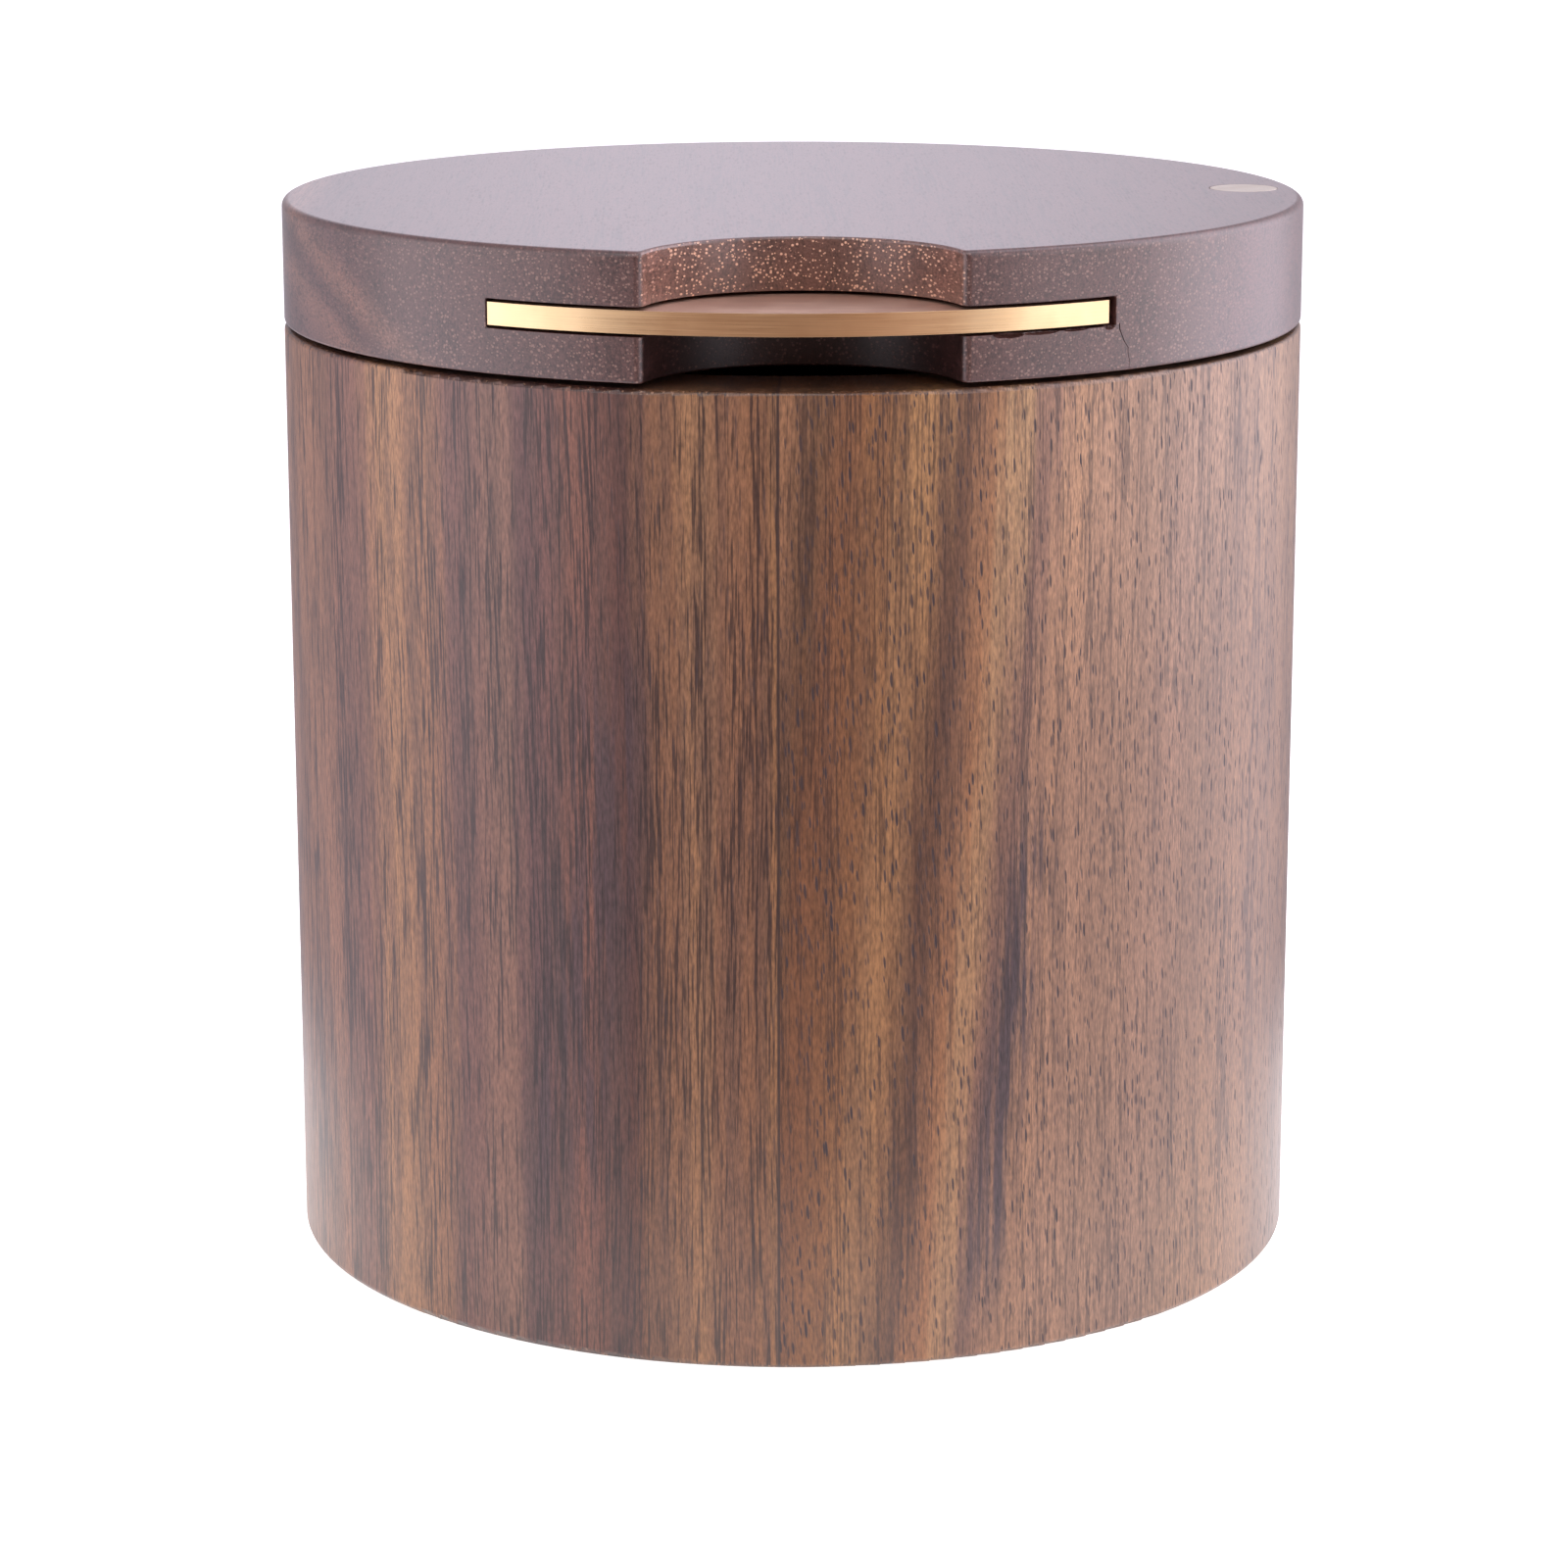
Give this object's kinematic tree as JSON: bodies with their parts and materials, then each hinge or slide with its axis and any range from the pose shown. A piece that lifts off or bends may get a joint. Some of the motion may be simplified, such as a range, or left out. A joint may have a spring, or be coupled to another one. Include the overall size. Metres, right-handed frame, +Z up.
{
  "type": "salt box",
  "caption": "Round walnut salt box: a bored cup under a flat lid that swivels on an upright brass pin, with a thumb notch bridged by a brass plate.",
  "frame": {"origin": "centre of the underside, on the surface that the box stands on", "axes": "+Z up along the box's axis; -Y towards the thumb notch, the front; +X towards the pivot"},
  "size_m": [0.105, 0.105, 0.1093],
  "materials": {
    "walnut_left_block": "turned and sanded walnut, straight vertical grain, satin oil",
    "walnut_right_block": "turned and sanded walnut, flat-sawn vertical grain with open pores, satin oil",
    "walnut_lid": "dark walnut board, grain front to back, satin oil",
    "brass_plate": "satin brass, front edge brushed along its length",
    "brass_turned": "turned brass, satin",
    "magnet_nickel": "nickel-plated magnet"
  },
  "bodies": {
    "box": {"body_left_block": "walnut_left_block", "body_right_block": "walnut_right_block", "body_magnet": "magnet_nickel", "pivot_bush": "brass_turned"},
    "lid": {"lid_board": "walnut_lid", "lid_magnet": "magnet_nickel", "thumb_plate": "brass_plate", "pivot_pin": "brass_turned"}
  },
  "joints": [
    {"name": "lid_swivel", "type": "hinge", "parent": "box", "child": "lid", "pos_m": [0.04694, 0.00246, 0.0964], "axis": [0, 0, 1], "continuous": true}
  ]
}
